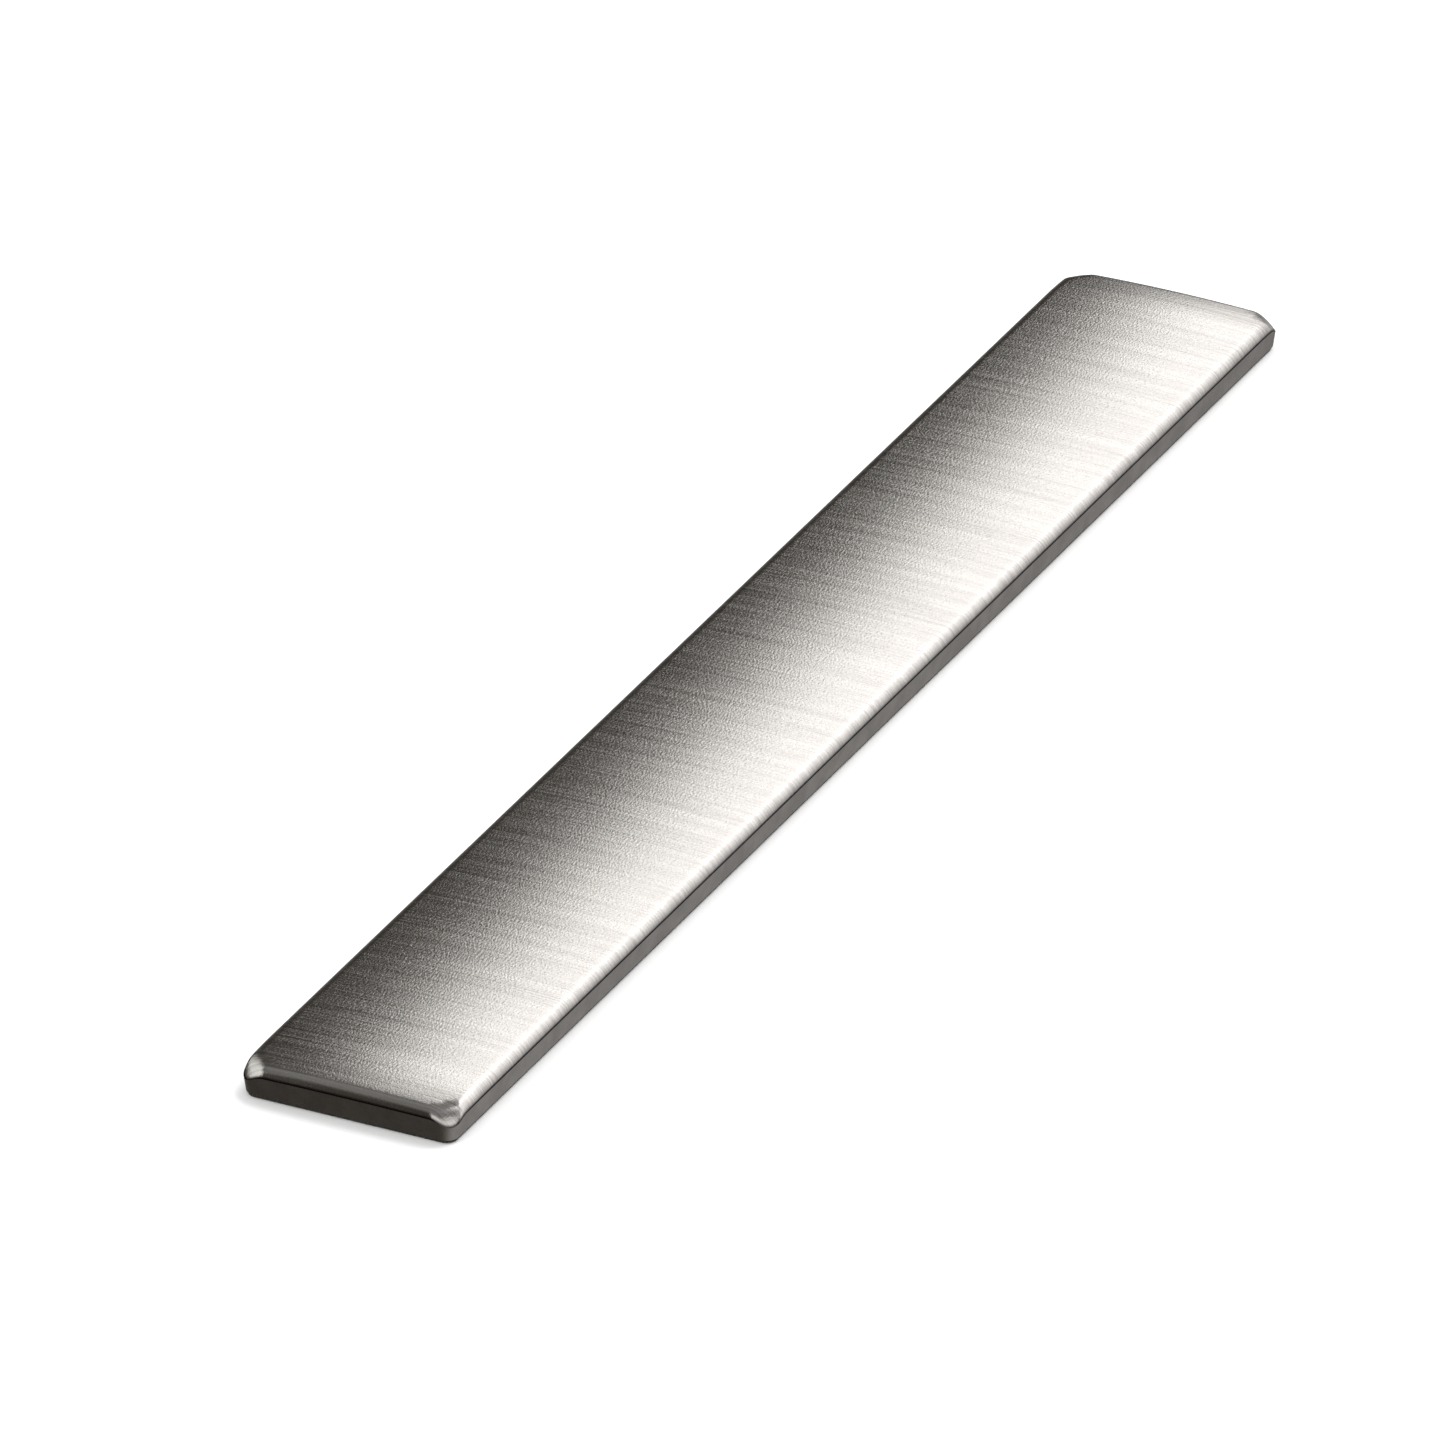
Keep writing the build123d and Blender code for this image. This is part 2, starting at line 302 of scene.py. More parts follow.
def new_material(name, *patterns):
    """An empty node material, its tree, and one output from 0 to 1 for each pattern of noise.

    A pattern is written as the size of its marks along x, y and z in millimetres, its shift and
    its detail. A long y draws the marks out across the plate.
    """
    made = bpy.data.materials.new(name)
    made.use_nodes = True
    tree = made.node_tree
    tree.nodes.clear()
    marks = []
    for size, shift, detail in patterns:
        place = add(tree, "ShaderNodeTexCoord").outputs["Object"]
        scale = tuple(1 / (s * MM) for s in size)
        move = (shift, shift * 0.7, shift * 1.3)
        laid = add(tree, "ShaderNodeMapping", {"Vector": place, "Scale": scale, "Location": move})
        noise = {"Vector": laid.outputs[0], "Scale": 1.0, "Detail": detail, "Roughness": 0.6}
        marks.append(add(tree, "ShaderNodeTexNoise", noise).outputs["Fac"])
    return made, tree, *marks


def shade(colour, by):
    """A colour made lighter or darker by a factor, with its alpha."""
    return (*(min(1.0, c * by) for c in colour), 1.0)


def brushed_plate(colour):
    """Satin nickel plate, linished across the plate by a belt: the eye sees fine lines parallel
    to the short ends, some of them longer and bolder, over the orange-peel grain of the casting
    under the plate, and a painted dark line of shade just above the crease, standing in for the
    dark reflection there. Real grit lines are 0.05 mm wide; they are drawn at 0.16 to 0.3 mm so
    that they show."""
    made, tree, fine, bold, band, peel = new_material(
        "satin_nickel_brushed",
        ((0.16, 9, 9), 0.0, 3.0),
        ((0.28, 22, 22), 3.1, 1.0),
        ((1.2, 28, 28), 5.3, 1.0),
        ((0.26, 0.26, 0.26), 7.7, 2.0),
    )
    both = add(tree, "ShaderNodeMath", {0: fine, 1: bold}, operation="ADD").outputs[0]
    lines = add(tree, "ShaderNodeMath", {0: band, 1: 0.5, 2: both}, operation="MULTIPLY_ADD")
    tone = add(tree, "ShaderNodeMapRange", {0: lines.outputs[0], 1: 0.9, 2: 1.6, 3: 0.0, 4: 1.0})
    shades = {0: tone.outputs[0], 6: shade(colour, 0.78), 7: shade(colour, 1.2)}
    lined = add(tree, "ShaderNodeMix", shades, data_type="RGBA")
    # painted shade: the colour falls to 0.12 of itself at the crease and is back to full 0.4 mm
    # above it, in place of the dark reflection there
    rise = add(tree, "ShaderNodeAttribute", attribute_name="rise").outputs["Fac"]
    past_painted_line = {0: rise, 1: 0.08 * MM, 2: 0.4 * MM, 3: 0.12, 4: 1.0}
    crease_shade = add(tree, "ShaderNodeMapRange", past_painted_line, interpolation_type="SMOOTHSTEP").outputs[0]
    speck = add(tree, "ShaderNodeMapRange", {0: peel, 1: 0.3, 2: 0.7, 3: 0.95, 4: 1.05}).outputs[0]
    level = add(tree, "ShaderNodeMath", {0: crease_shade, 1: speck}, operation="MULTIPLY").outputs[0]
    grey = add(tree, "ShaderNodeCombineColor", {0: level, 1: level, 2: level}).outputs[0]
    layers = {0: 1.0, 6: lined.outputs[2], 7: grey}
    tinted = add(tree, "ShaderNodeMix", layers, data_type="RGBA", blend_type="MULTIPLY")
    rough = add(tree, "ShaderNodeMapRange", {0: both, 1: 0.7, 2: 1.3, 3: 0.16, 4: 0.22})
    height = add(tree, "ShaderNodeMath", {0: peel, 1: 1.6, 2: both}, operation="MULTIPLY_ADD")
    relief = {"Height": height.outputs[0], "Strength": 0.7, "Distance": 0.012 * MM}
    bump = add(tree, "ShaderNodeBump", relief)
    tangent = add(tree, "ShaderNodeTangent", direction_type="UV_MAP", uv_map="lay")
    inputs = {
        "Base Color": tinted.outputs[2],
        "Metallic": 1.0,
        "Roughness": rough.outputs[0],
        "Anisotropic": 0.7,
        "Normal": bump.outputs[0],
        "Tangent": tangent.outputs[0],
    }
    shader = add(tree, "ShaderNodeBsdfPrincipled", inputs)
    add(tree, "ShaderNodeOutputMaterial", {"Surface": shader.outputs[0]})
    return made


def plain_plate(colour):
    """The same plate on the walls, tumbled but not brushed: an even satin with a faint grain and
    soft blotches."""
    made, tree, grain, blotch = new_material(
        "satin_nickel_tumbled", ((0.3, 0.3, 0.3), 0.0, 4.0), ((2.5, 2.5, 2.5), 2.2, 2.0)
    )
    tone = add(tree, "ShaderNodeMapRange", {0: blotch, 1: 0.35, 2: 0.65})
    shades = {0: tone.outputs[0], 6: shade(colour, 0.86), 7: shade(colour, 1.04)}
    tinted = add(tree, "ShaderNodeMix", shades, data_type="RGBA")
    rough = add(tree, "ShaderNodeMapRange", {0: grain, 1: 0.3, 2: 0.7, 3: 0.26, 4: 0.34})
    relief = {"Height": grain, "Strength": 0.3, "Distance": 0.01 * MM}
    bump = add(tree, "ShaderNodeBump", relief)
    inputs = {
        "Base Color": tinted.outputs[2],
        "Metallic": 1.0,
        "Roughness": rough.outputs[0],
        "Normal": bump.outputs[0],
    }
    shader = add(tree, "ShaderNodeBsdfPrincipled", inputs)
    add(tree, "ShaderNodeOutputMaterial", {"Surface": shader.outputs[0]})
    return made


def cast_back(colour):
    """The cast zinc inside of the cover, left as it came from the die: dull grey metal with a
    mottled skin."""
    made, tree, skin = new_material("zinc_as_cast", ((1.5, 1.5, 1.5), 0.0, 5.0))
    tone = add(tree, "ShaderNodeMapRange", {0: skin, 1: 0.3, 2: 0.7})
    shades = {0: tone.outputs[0], 6: shade(colour, 0.8), 7: shade(colour, 1.1)}
    tinted = add(tree, "ShaderNodeMix", shades, data_type="RGBA")
    relief = {"Height": skin, "Strength": 0.5, "Distance": 0.03 * MM}
    bump = add(tree, "ShaderNodeBump", relief)
    inputs = {
        "Base Color": tinted.outputs[2],
        "Metallic": 1.0,
        "Roughness": 0.5,
        "Normal": bump.outputs[0],
    }
    shader = add(tree, "ShaderNodeBsdfPrincipled", inputs)
    add(tree, "ShaderNodeOutputMaterial", {"Surface": shader.outputs[0]})
    return made


def zinc_steel(colour):
    """Cold-rolled steel strip, bright zinc plated: bluish silver with faint spangles and rolling
    lines along it."""
    made, tree, rolled, spangle = new_material(
        "steel_zinc_plated", ((30, 0.25, 0.25), 0.0, 3.0), ((3, 3, 3), 5.0, 2.0)
    )
    tone = add(tree, "ShaderNodeMapRange", {0: spangle, 1: 0.35, 2: 0.65})
    shades = {0: tone.outputs[0], 6: shade(colour, 0.86), 7: shade(colour, 1.06)}
    tinted = add(tree, "ShaderNodeMix", shades, data_type="RGBA")
    rough = add(tree, "ShaderNodeMapRange", {0: rolled, 1: 0.3, 2: 0.7, 3: 0.26, 4: 0.4})
    relief = {"Height": rolled, "Strength": 0.3, "Distance": 0.01 * MM}
    bump = add(tree, "ShaderNodeBump", relief)
    inputs = {
        "Base Color": tinted.outputs[2],
        "Metallic": 1.0,
        "Roughness": rough.outputs[0],
        "Normal": bump.outputs[0],
    }
    shader = add(tree, "ShaderNodeBsdfPrincipled", inputs)
    add(tree, "ShaderNodeOutputMaterial", {"Surface": shader.outputs[0]})
    return made


def spring_steel(colour):
    """Blued spring steel sheet: dark and smooth, drifting from brown to blue with the tempering
    heat."""
    made, tree, heat, lines = new_material(
        "spring_steel_blued", ((6, 6, 6), 1.0, 2.0), ((0.3, 8, 0.3), 4.0, 2.0)
    )
    warm = (colour[0] * 1.3, colour[1] * 1.05, colour[2] * 0.8, 1.0)
    tone = add(tree, "ShaderNodeMapRange", {0: heat, 1: 0.35, 2: 0.65})
    shades = {0: tone.outputs[0], 6: shade(colour, 1.0), 7: warm}
    tinted = add(tree, "ShaderNodeMix", shades, data_type="RGBA")
    rough = add(tree, "ShaderNodeMapRange", {0: lines, 1: 0.3, 2: 0.7, 3: 0.24, 4: 0.34})
    inputs = {"Base Color": tinted.outputs[2], "Metallic": 1.0, "Roughness": rough.outputs[0]}
    shader = add(tree, "ShaderNodeBsdfPrincipled", inputs)
    add(tree, "ShaderNodeOutputMaterial", {"Surface": shader.outputs[0]})
    return made


def rivet_metal(colour):
    """Headed aluminium: pale, with small scuffs where the riveting tool turned."""
    made, tree, scuff = new_material("aluminium_headed", ((0.25, 0.6, 0.6), 0.0, 4.0))
    tone = add(tree, "ShaderNodeMapRange", {0: scuff, 1: 0.3, 2: 0.7})
    shades = {0: tone.outputs[0], 6: shade(colour, 0.85), 7: shade(colour, 1.0)}
    tinted = add(tree, "ShaderNodeMix", shades, data_type="RGBA")
    rough = add(tree, "ShaderNodeMapRange", {0: scuff, 1: 0.3, 2: 0.7, 3: 0.28, 4: 0.45})
    inputs = {"Base Color": tinted.outputs[2], "Metallic": 1.0, "Roughness": rough.outputs[0]}
    shader = add(tree, "ShaderNodeBsdfPrincipled", inputs)
    add(tree, "ShaderNodeOutputMaterial", {"Surface": shader.outputs[0]})
    return made


def closed_foam(colour):
    """Closed-cell neoprene foam, skived from a block: matt black with cut cells about 0.3 mm
    across, each darkened towards its hollow middle by painted shade."""
    made, tree = new_material("neoprene_foam")
    place = add(tree, "ShaderNodeTexCoord").outputs["Object"]
    cells = add(tree, "ShaderNodeTexVoronoi", {"Vector": place, "Scale": 1 / (0.35 * MM)})
    far_in = {0: cells.outputs["Distance"], 1: 0.0, 2: 0.7}
    depth_and_shade = add(tree, "ShaderNodeMapRange", far_in).outputs[0]
    # painted shade: the colour drops to half towards the middle of each cut cell, where its hollow
    # lies, and rises to 1.5 times at its rim
    shades = {0: depth_and_shade, 6: shade(colour, 0.5), 7: shade(colour, 1.5)}
    tinted = add(tree, "ShaderNodeMix", shades, data_type="RGBA")
    relief = {"Height": depth_and_shade, "Strength": 0.6, "Distance": 0.05 * MM}
    bump = add(tree, "ShaderNodeBump", relief)
    inputs = {
        "Base Color": tinted.outputs[2],
        "Roughness": 0.9,
        "Specular IOR Level": 0.3,
        "Normal": bump.outputs[0],
    }
    shader = add(tree, "ShaderNodeBsdfPrincipled", inputs)
    add(tree, "ShaderNodeOutputMaterial", {"Surface": shader.outputs[0]})
    return made


def pressed_felt(colour):
    """Pressed wool felt: matt grey, matted fibres 0.1 to 0.3 mm apart in two crossing drifts,
    with a soft sheen."""
    made, tree, one, two = new_material(
        "wool_felt_pressed", ((0.15, 1.1, 0.3), 0.0, 3.0), ((1.2, 0.18, 0.3), 6.0, 3.0)
    )
    matted = add(tree, "ShaderNodeMath", {0: one, 1: two}, operation="ADD").outputs[0]
    tone = add(tree, "ShaderNodeMapRange", {0: matted, 1: 0.7, 2: 1.3})
    shades = {0: tone.outputs[0], 6: shade(colour, 0.6), 7: shade(colour, 1.4)}
    tinted = add(tree, "ShaderNodeMix", shades, data_type="RGBA")
    relief = {"Height": matted, "Strength": 0.8, "Distance": 0.08 * MM}
    bump = add(tree, "ShaderNodeBump", relief)
    inputs = {
        "Base Color": tinted.outputs[2],
        "Roughness": 0.95,
        "Sheen Weight": 0.3,
        "Normal": bump.outputs[0],
    }
    shader = add(tree, "ShaderNodeBsdfPrincipled", inputs)
    add(tree, "ShaderNodeOutputMaterial", {"Surface": shader.outputs[0]})
    return made


def acetal(colour):
    """Injection-moulded acetal: near-black, slightly waxy, with the fine spark texture of its
    mould."""
    made, tree, spark = new_material("acetal_moulded", ((0.2, 0.2, 0.2), 0.0, 3.0))
    shades = {0: spark, 6: shade(colour, 0.9), 7: shade(colour, 1.3)}
    tinted = add(tree, "ShaderNodeMix", shades, data_type="RGBA")
    rough = add(tree, "ShaderNodeMapRange", {0: spark, 1: 0.3, 2: 0.7, 3: 0.36, 4: 0.5})
    relief = {"Height": spark, "Strength": 0.3, "Distance": 0.02 * MM}
    bump = add(tree, "ShaderNodeBump", relief)
    inputs = {
        "Base Color": tinted.outputs[2],
        "Roughness": rough.outputs[0],
        "Normal": bump.outputs[0],
    }
    shader = add(tree, "ShaderNodeBsdfPrincipled", inputs)
    add(tree, "ShaderNodeOutputMaterial", {"Surface": shader.outputs[0]})
    return made


# ---- the user's sizes and colours ----------------------------------------------------


def size_prop(name, about, default):
    """A length in metres."""
    return FloatProperty(
        name=name, description=about, default=default, min=0.0, unit="LENGTH", precision=5
    )


def colour_prop(name, about, default):
    """A linear colour."""
    return FloatVectorProperty(
        name=name,
        description=about,
        default=linear(default),
        min=0.0,
        max=1.0,
        size=3,
        subtype="COLOR",
    )


class PlateSizes(bpy.types.PropertyGroup):
    """Sizes of the cover and of the other drawn pieces."""

    length: size_prop("Length", "Over the cover", COVER_HIGH[0] - COVER_LOW[0])
    width: size_prop("Width", "Across the cover", COVER_HIGH[1] - COVER_LOW[1])
    height: size_prop("Height", "Door face to the top of the crown", 4.4 * MM)
    roll_radius: size_prop("Edge Roll", "Radius of the rolled edge", 1.35 * MM)
    corner_radius: size_prop("Corner Radius", "Radius of the corners seen from above", 1.8 * MM)
    draft: FloatProperty(
        name="Draft",
        description="Lean of the walls",
        default=math.radians(8.5),
        min=0.0,
        max=0.5,
        subtype="ANGLE",
    )
    crease_rise: size_prop("Crease Rise", "Start of the lean above the roll's middle", 0.08 * MM)
    crown_side: size_prop("Side Crown", "Fall of the top to the long edges", 0.35 * MM)
    crown_end: size_prop("End Crown", "Extra fall at the short ends", 0.45 * MM)
    end_fall: size_prop("End Fall Length", "Length of the fall at each end", 7.0 * MM)
    corner_fall: size_prop("Corner Fall", "Extra fall at a square corner", 3.5 * MM)
    corner_reach: size_prop("Corner Fall Length", "Arc that the corners fall outside", 7.0 * MM)
    rail_gap: size_prop("Rail Gap", "Rail to the inside of the cover", 0.3 * MM)
    cavity_radius: size_prop("Cavity Radius", "Corner radius of the open back", 1.5 * MM)
    roof_z: size_prop("Roof Underside", "Door face to the underside of the roof", 3.0 * MM)
    lead_in: size_prop("Lead-in", "Chamfer round the mouth of the open back", 0.35 * MM)
    rail_edge: size_prop("Rail Edge", "Rounding of the rail's edges", 0.08 * MM)
    foam_edge: size_prop("Foam Edge", "Rounding of the foam's edges", 0.12 * MM)
    felt_edge: size_prop("Felt Edge", "Rounding of the felt's edges", 0.3 * MM)


class PlateFinishes(bpy.types.PropertyGroup):
    """Colours of the finishes."""

    cover: colour_prop("Brushed Top", "Satin nickel, brushed", "#E2E0DB")
    wall: colour_prop("Wall", "Satin nickel, tumbled", "#DFDCD6")
    inside: colour_prop("Inside", "Zinc as cast", "#9FA0A2")
    rail: colour_prop("Rail", "Zinc-plated steel", "#BFC3C8")
    spring: colour_prop("Clips", "Blued spring steel", "#73777F")
    rivet: colour_prop("Rivets", "Aluminium", "#D5D6D8")
    foam: colour_prop("Foam", "Neoprene foam", "#302F2D")
    felt: colour_prop("Felt", "Wool felt", "#77766F")
    moulding: colour_prop("Locators", "Acetal", "#26272A")
    floor: colour_prop("Floor", "Pale studio floor", "#F4F4F4")


class PlateOperator:
    """What every builder here shares."""

    bl_options = {"REGISTER", "UNDO"}


class PLATE_OT_cover(PlateOperator, bpy.types.Operator):
    """Builds the brushed cover: leaning walls, rolled edge, crowned top and open back"""

    bl_idname = "door_plate.cover"
    bl_label = "Cover"

    def execute(self, context):
        p, finish = context.scene.plate_sizes, context.scene.plate_finishes
        ring, rows, crease_row = cover_rings(p)
        inner = cavity_rings(ring, p)
        count = ring.shape[1]
        # from the roof's middle line down the inside, round the rim and up over the outside
        shell = inner[::-1] + rows
        points = np.concatenate(shell)
        faces = ring_faces(len(shell), count)
        row_of_face = np.repeat(np.arange(len(shell) - 1), count)
        rim_row = len(inner)
        crease = rim_row + crease_row
        brushed, plain, cast = range(3)
        slots = np.where(row_of_face < crease, plain, brushed)
        slots[row_of_face < rim_row - 1] = cast
        sharp = [rim_row - 2, rim_row - 1, rim_row, crease]
        # how far each point stands above the crease, which the painted dark line of shade there
        # follows
        rise = points[:, 2] - np.tile(rows[crease_row][:, 2], len(shell))
        piece = mesh_object("cover_shell", points, faces, sharp, count, slots, rise)
        lay_map(piece)
        piece.data.materials.append(brushed_plate(finish.cover))
        piece.data.materials.append(plain_plate(finish.wall))
        piece.data.materials.append(cast_back(finish.inside))
        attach(piece, "cover")
        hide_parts("cover_plate")
        return {"FINISHED"}


class PLATE_OT_gasket(PlateOperator, bpy.types.Operator):
    """Builds the foam backing sheet with its screw openings"""

    bl_idname = "door_plate.gasket"
    bl_label = "Foam Backing"

    def execute(self, context):
        p, finish = context.scene.plate_sizes, context.scene.plate_finishes
        piece = soft_copy("foam_gasket", "foam_backing", p.foam_edge, 3)
        coat(piece, closed_foam(finish.foam))
        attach(piece, "base")
        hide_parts("foam_gasket")
        return {"FINISHED"}


class PLATE_OT_rail(PlateOperator, bpy.types.Operator):
    """Builds the steel rail and the rivets in it"""

    bl_idname = "door_plate.rail"
    bl_label = "Rail and Rivets"

    def execute(self, context):
        p, finish = context.scene.plate_sizes, context.scene.plate_finishes
        rail = soft_copy("base_rail", "rail_strip", p.rail_edge)
        coat(rail, zinc_steel(finish.rail))
        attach(rail, "base")
        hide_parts("base_rail")
        coat(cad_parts["clip_rivets"], rivet_metal(finish.rivet))
        return {"FINISHED"}


class PLATE_OT_clips(PlateOperator, bpy.types.Operator):
    """Gives the spring clips their finish"""

    bl_idname = "door_plate.clips"
    bl_label = "Spring Clips"

    def execute(self, context):
        made = spring_steel(context.scene.plate_finishes.spring)
        for node in CLIP_NODES:
            coat(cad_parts[node], made)
        return {"FINISHED"}


class PLATE_OT_pads(PlateOperator, bpy.types.Operator):
    """Builds the felt damping pads"""

    bl_idname = "door_plate.pads"
    bl_label = "Felt Pads"

    def execute(self, context):
        p = context.scene.plate_sizes
        made = pressed_felt(context.scene.plate_finishes.felt)
        for node in PAD_NODES:
            piece = soft_copy(node, node.replace("damping_pad", "felt_pad"), p.felt_edge, 4)
            coat(piece, made)
            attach(piece, "base")
            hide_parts(node)
        return {"FINISHED"}


class PLATE_OT_locators(PlateOperator, bpy.types.Operator):
    """Gives the end locators their finish"""

    bl_idname = "door_plate.locators"
    bl_label = "End Locators"

    def execute(self, context):
        made = acetal(context.scene.plate_finishes.moulding)
        for node in LOCATOR_NODES:
            coat(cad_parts[node], made)
        return {"FINISHED"}


# ---- studio --------------------------------------------------------------------------

VIEW_AZIMUTH = math.radians(-63.665)
VIEW_ELEVATION = math.radians(28.456)
VIEW_DISTANCE = 3.4958
VIEW_SENSOR, VIEW_LENS = 36.0, 817.9  # millimetres
VIEW_ASIDE = -5.09 * MM  # how far the camera stands to the right of the line to the plate
VIEW_ABOVE = -1.07 * MM
FLOOR_HALF = 30.0
FLOOR_GAP = 0.02 * MM
TENT_RADIUS = 12.0
TENT_TURNS, TENT_ROWS = 48, 25
CARD_GLOW = 1.7
WORLD_FILL, WORLD_SEEN = 0.75, 1.0


def aim_camera():
    """Camera on the view direction; it stands off to the side, unturned, so the plate sits where
    it should."""
    data = bpy.data.cameras.new("camera")
    data.sensor_width = VIEW_SENSOR
    data.lens = VIEW_LENS
    data.clip_start, data.clip_end = 0.1, 50.0
    camera = bpy.data.objects.new("camera", data)
    bpy.context.scene.collection.objects.link(camera)
    level = math.cos(VIEW_ELEVATION)
    back_x, back_y = math.sin(VIEW_AZIMUTH) * level, -math.cos(VIEW_AZIMUTH) * level
    back = Vector((back_x, back_y, math.sin(VIEW_ELEVATION)))
    right = Vector((math.cos(VIEW_AZIMUTH), math.sin(VIEW_AZIMUTH), 0))
    up = back.cross(right)
    camera.location = back * VIEW_DISTANCE + right * VIEW_ASIDE + up * VIEW_ABOVE
    camera.rotation_mode = "QUATERNION"
    camera.rotation_quaternion = (-back).to_track_quat("-Z", "Y")
    bpy.context.scene.camera = camera


def stage_plane(name, half, z):
    """A flat square facing up."""
    mesh = bpy.data.meshes.new(name)
    corners = [(half * x, half * y, z) for x, y in ((-1, -1), (1, -1), (1, 1), (-1, 1))]
    mesh.from_pydata(corners, [], [(0, 1, 2, 3)])
    made = bpy.data.objects.new(name, mesh)
    bpy.context.scene.collection.objects.link(made)
    return made


def floor_paint(colour):
    """Plain matt pale floor that only the camera meets, and only from above; light from the world
    passes through it, so the plate's back is lit and shows in views from under it."""
    made, tree = new_material("studio_floor")
    paint = add(tree, "ShaderNodeBsdfDiffuse", {"Color": shade(colour, 1.0)}).outputs[0]
    clear = add(tree, "ShaderNodeBsdfTransparent").outputs[0]
    below = add(tree, "ShaderNodeNewGeometry").outputs["Backfacing"]
    looked_at = add(tree, "ShaderNodeLightPath").outputs["Is Camera Ray"]
    solid = add(tree, "ShaderNodeMath", {0: looked_at, 1: below}, operation="GREATER_THAN")
    mix = add(tree, "ShaderNodeMixShader", {0: solid.outputs[0], 1: clear, 2: paint})
    add(tree, "ShaderNodeOutputMaterial", {"Surface": mix.outputs[0]})
    return made


def tent_cloth():
    """Light tent that only reflections see. With x, y, z as the direction from the plate, its
    glow above the floor is a soft card beyond the far end, low and to the right, and two plainer
    ones behind and to the left, in a dim warm room that is paler overhead; below the floor it is
    the table, darker towards the near left, with a dim band just under the horizon."""
    made, tree = new_material("light_tent")
    place = add(tree, "ShaderNodeTexCoord").outputs["Object"]
    unit = add(tree, "ShaderNodeVectorMath", {0: place}, operation="NORMALIZE").outputs[0]
    x, y, z = add(tree, "ShaderNodeSeparateXYZ", {0: unit}).outputs
    left_side = add(tree, "ShaderNodeMath", {0: y, 1: 0.3}, operation="SUBTRACT").outputs[0]
    left_side = add(tree, "ShaderNodeMath", {0: left_side, 1: 0.0}, operation="MINIMUM").outputs[0]
    sloping = {0: left_side, 1: 0.5, 2: z}
    tilted = add(tree, "ShaderNodeMath", sloping, operation="MULTIPLY_ADD").outputs[0]
    diagonal = add(tree, "ShaderNodeMath", {0: x, 1: y}, operation="SUBTRACT").outputs[0]
    eased = {}
    for name, source, low, high, start, end in (
        ("edge", y, 0.356, 0.414, 1.0, 0.0),  # the card's left edge
        ("foot", y, -0.2, 0.3, 0.6, 0.12),  # how bright its foot is, from right to left
        ("rise", z, 0.08, 0.46, 0.0, 1.0),  # from its foot up
        ("top", tilted, 0.57, 0.72, 1.0, 0.0),
        ("front", x, -0.2, 0.4, 0.0, 1.0),
        ("side", y, -0.6, 0.1, 0.62, 1.0),
        ("far", x, 0.81, 0.91, 1.0, 0.4),
        ("zenith", z, 0.5, 1.0, 0.044, 0.21),
        ("left_y", y, 0.52, 0.64, 0.0, 1.0),  # the left card
        ("left_x", x, 0.15, 0.6, 1.0, 0.0),
        ("back_y", y, 0.05, 0.2, 1.0, 0.0),  # the back card
        ("back_x", x, -0.35, -0.05, 1.0, 0.0),
        ("plain_foot", z, 0.05, 0.2, 0.0, 1.0),  # foot and top of both plain cards
        ("plain_top", z, 0.6, 0.75, 0.8, 0.0),
        ("ahead", diagonal, -1.1, 0.9, 0.0, 1.0),  # across the table, from the near left
        ("left", y, 0.1, 0.55, 1.0, 0.5),
        ("floor_band", z, -0.56, -0.46, 0.0, 1.0),  # up from the table to the horizon
        ("floor_low", z, -0.36, -0.2, 0.0, 1.0),
        ("horizon", z, -0.1, 0.1, 0.0, 1.0),
    ):
        ramp = {0: source, 1: low, 2: high, 3: start, 4: end}
        eased_ramp = add(tree, "ShaderNodeMapRange", ramp, interpolation_type="SMOOTHSTEP")
        eased[name] = eased_ramp.outputs[0]
    card = add(tree, "ShaderNodeMapRange", {0: eased["rise"], 3: eased["foot"], 4: 1.0}).outputs[0]
    for name in ("edge", "top", "front", "side", "far"):
        both = {0: card, 1: eased[name]}
        card = add(tree, "ShaderNodeMath", both, operation="MULTIPLY").outputs[0]
    card_and_room = {0: card, 1: CARD_GLOW, 2: eased["zenith"]}
    sky = add(tree, "ShaderNodeMath", card_and_room, operation="MULTIPLY_ADD").outputs[0]
    both = {0: eased["plain_foot"], 1: eased["plain_top"]}
    plain = add(tree, "ShaderNodeMath", both, operation="MULTIPLY").outputs[0]
    for side in ("left", "back"):
        both = {0: eased[side + "_x"], 1: eased[side + "_y"]}
        part = add(tree, "ShaderNodeMath", both, operation="MULTIPLY").outputs[0]
        more = {0: part, 1: plain, 2: sky}
        sky = add(tree, "ShaderNodeMath", more, operation="MULTIPLY_ADD").outputs[0]
    ground = []
    for near_left, far_right in ((0.041, 0.265), (0.05, 0.1), (0.035, 0.42)):
        ramp = {0: eased["ahead"], 3: near_left, 4: far_right}
        ground.append(add(tree, "ShaderNodeMapRange", ramp).outputs[0])
    glow, band, low = ground
    low = add(tree, "ShaderNodeMath", {0: low, 1: eased["left"]}, operation="MULTIPLY").outputs[0]
    for above, share in ((band, "floor_band"), (low, "floor_low"), (sky, "horizon")):
        glow = add(tree, "ShaderNodeMapRange", {0: eased[share], 3: glow, 4: above}).outputs[0]
    warmth = add(tree, "ShaderNodeMapRange", {0: glow, 1: 0.03, 2: 0.2}).outputs[0]
    cool = add(tree, "ShaderNodeMapRange", {0: y, 1: 0.33, 2: 0.43}).outputs[0]
    pales = {0: cool, 6: (1, 0.974, 0.985, 1), 7: (1, 1.0, 0.975, 1)}
    pale = add(tree, "ShaderNodeMix", pales, data_type="RGBA").outputs[2]
    hues = {0: warmth, 6: (1, 0.88, 0.79, 1), 7: pale}
    hue = add(tree, "ShaderNodeMix", hues, data_type="RGBA").outputs[2]
    light = add(tree, "ShaderNodeEmission", {"Color": hue, "Strength": glow}).outputs[0]
    add(tree, "ShaderNodeOutputMaterial", {"Surface": light})
    return made


def only_reflections(obj):
    """Lets nothing but reflections see an object."""
    obj.visible_camera = False
    obj.visible_diffuse = False
    obj.visible_transmission = False
    obj.visible_volume_scatter = False
    obj.visible_shadow = False


